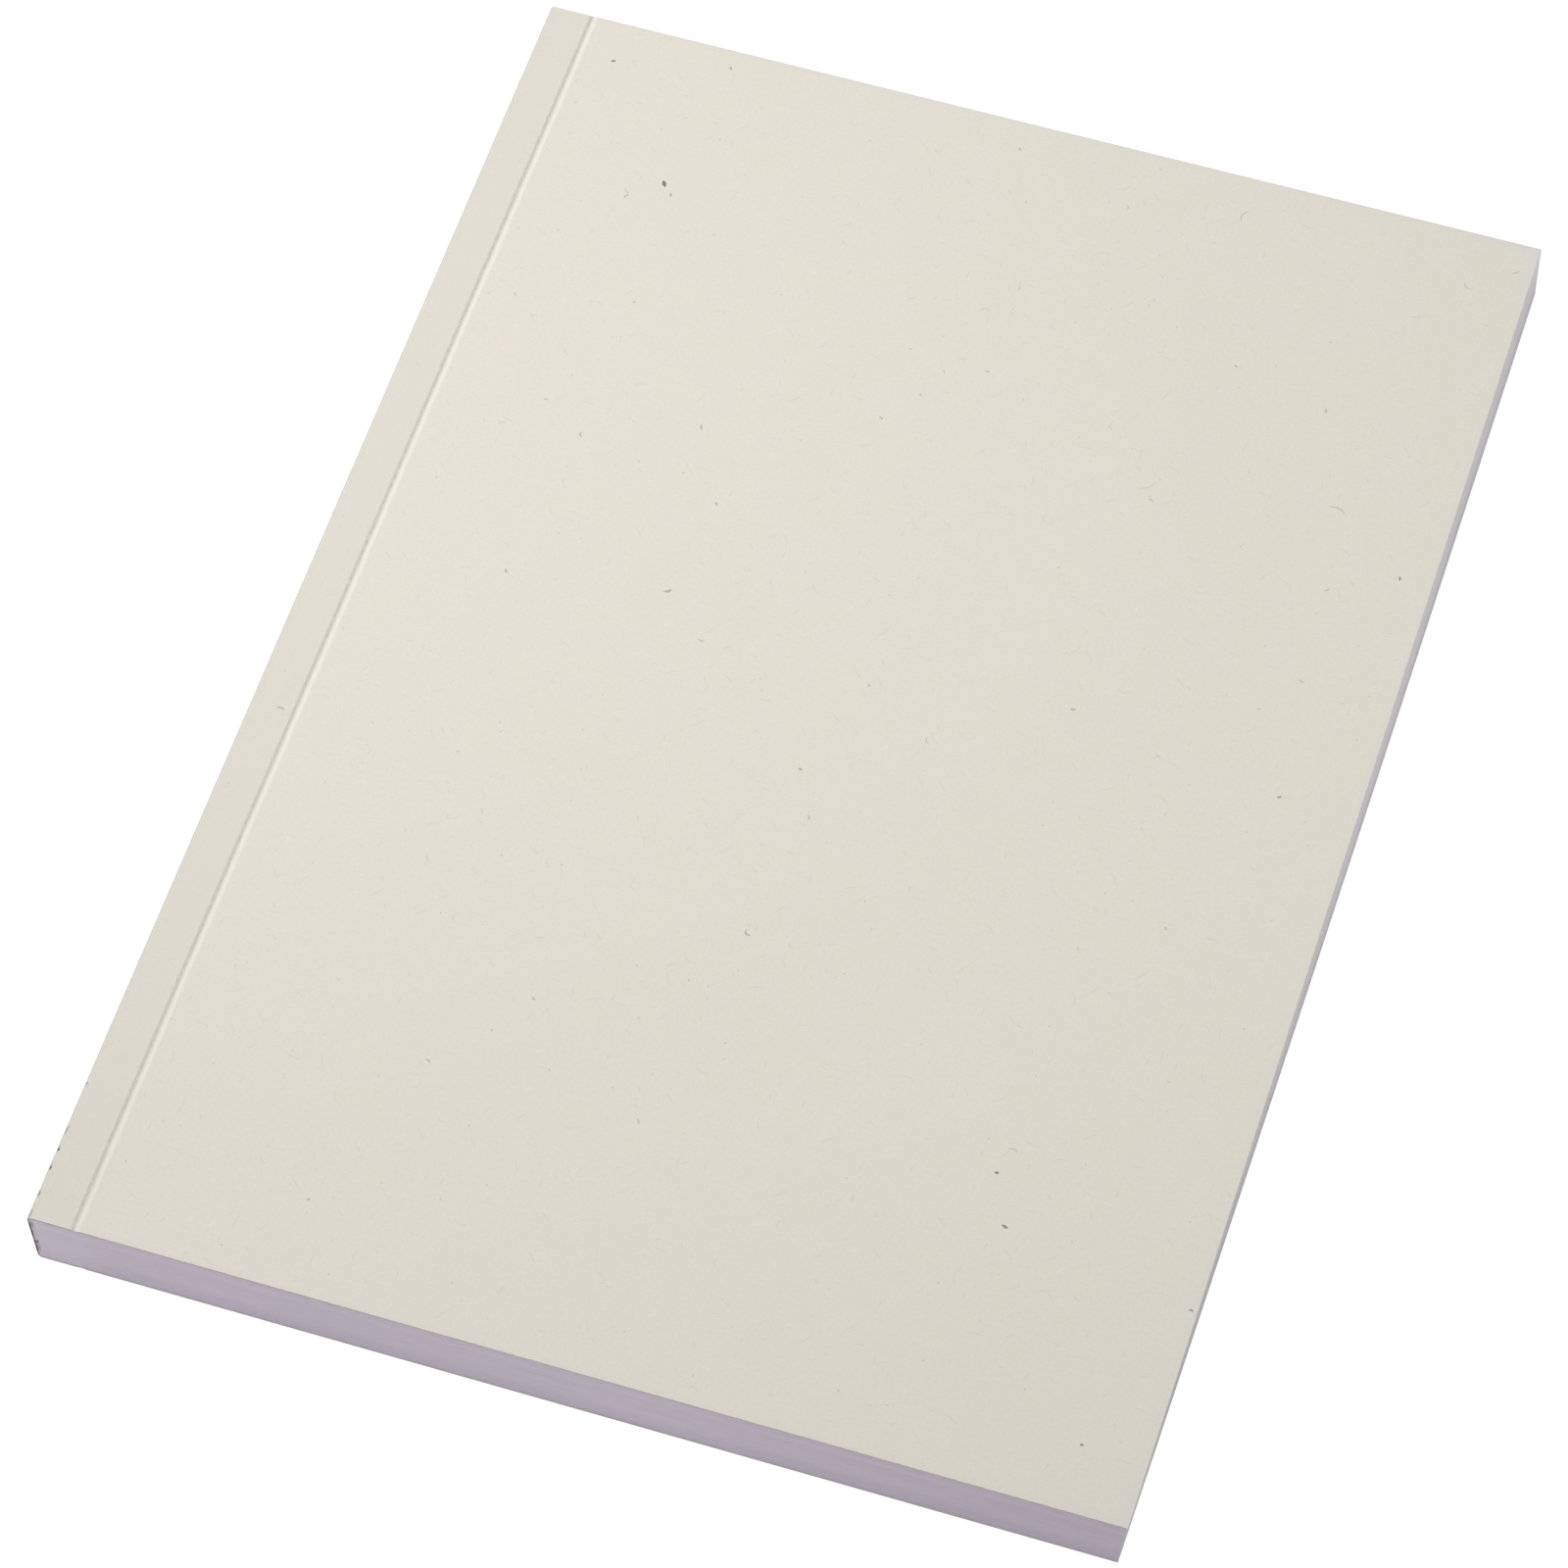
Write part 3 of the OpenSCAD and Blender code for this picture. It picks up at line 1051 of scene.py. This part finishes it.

# %% [markdown]
# Joining the pieces to the bodies
# Each piece has to move with the right part of the notebook. The spine, the leaves and the glue ride
# on the block. The two covers are set in the frame as they are and are not joined to a body here, and
# the imported pieces that the new ones stand in for are hidden.

# %% Bodies
for piece in (spine_card, leaves, binding_glue):
    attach(piece, "book_block")
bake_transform(front_card)
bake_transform(back_card)
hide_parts("front_cover")
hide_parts("back_cover")
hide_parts("cover_spine")
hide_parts("page_block")
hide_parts("spine_glue")

# %% [markdown]
# The floor and the light
# The photograph has a clean white ground. Pouring light on until the floor burns out would bleach the
# card too. The floor is instead told to look white to the camera, and keeps just enough of its own
# shading for a soft shadow under the notebook. A soft lamp stands high on the spine's side, so that it
# rakes across the crease, and its beam is narrowed so that the light fades towards the fore edge. A
# weaker lamp on the fore edge's side, the sky and the pale floor fill the sides that face away from it.

# %% Floor and sky
FLOOR_DROP = 0.4
FLOOR_HALF = 3.0
FLOOR_WHITE = 1.06
SHADOW_SHARE = 0.08
SKY_LEVEL = 0.43


def white_to_camera(paint):
    """1 for a ray that comes from the camera or by way of a reflection or through glass."""
    outputs = paint.node("ShaderNodeLightPath").socket.node.outputs
    camera_ray, glossy, glass = [Value(paint, outputs[name]) for name in
                                 ("Is Camera Ray", "Is Glossy Ray", "Is Transmission Ray")]
    return (camera_ray + glossy + glass).clamped()


def make_floor():
    """A wide white table, just below the notebook so that the opened back cover still shows."""
    bm = bmesh.new()
    bmesh.ops.create_grid(bm, x_segments=1, y_segments=1, size=FLOOR_HALF)
    bmesh.ops.translate(bm, vec=(0, 0, -FLOOR_DROP * MM), verts=bm.verts[:])
    mesh = bpy.data.meshes.new("floor")
    bm.to_mesh(mesh)
    bm.free()
    paint = Paint("white floor", 0.95)
    paint.plug(paint.shader.inputs["Base Color"], tone(243, 243, 243))
    bright = paint.node("ShaderNodeEmission", {}, {"Color": (1, 1, 1, 1), "Strength": FLOOR_WHITE})
    share = white_to_camera(paint) * (1 - SHADOW_SHARE)
    plain = Value(paint, paint.shader.outputs[0])
    mixed = paint.node("ShaderNodeMixShader", {}, {0: share, 1: plain, 2: bright})
    paint.plug(paint.tree.nodes["Material Output"].inputs["Surface"], mixed)
    mesh.materials.append(paint.material)
    floor = bpy.data.objects.new("floor", mesh)
    bpy.context.scene.collection.objects.link(floor)


def make_sky():
    """Even light from all round, which the camera sees as white."""
    world = bpy.data.worlds.new("sky")
    world.use_nodes = True
    bpy.context.scene.world = world
    sky = NodeTree(world.node_tree)
    background = sky.tree.nodes["Background"]
    background.inputs["Color"].default_value = (1, 1, 1, 1)
    sky.plug(background.inputs["Strength"], white_to_camera(sky) * (1 - SKY_LEVEL) + SKY_LEVEL)


make_floor()
make_sky()
print("the floor lies", FLOOR_DROP, "mm below the notebook and the sky's strength is", SKY_LEVEL)

# %% Lamps
def make_lamp(name, place, aim, size, watts, beam=180):
    """A square soft lamp that points at a place and lights an angle of beam degrees."""
    data = bpy.data.lights.new(name, "AREA")
    data.size = size
    data.energy = watts
    data.spread = math.radians(beam)
    lamp = bpy.data.objects.new(name, data)
    lamp.location = place
    lamp.rotation_mode = "QUATERNION"
    lamp.rotation_quaternion = (Vector(place) - Vector(aim)).to_track_quat("Z", "Y")
    bpy.context.scene.collection.objects.link(lamp)
    print(name, "of", watts, "W lights an angle of", beam, "degrees")


make_lamp("key lamp", (-0.44, 0.0, 0.53), (0.05, 0.07, 0), 0.35, 0.64, beam=76)
make_lamp("fill lamp", (0.90, -0.30, 0.50), (0, 0, 0), 0.6, 1.4)
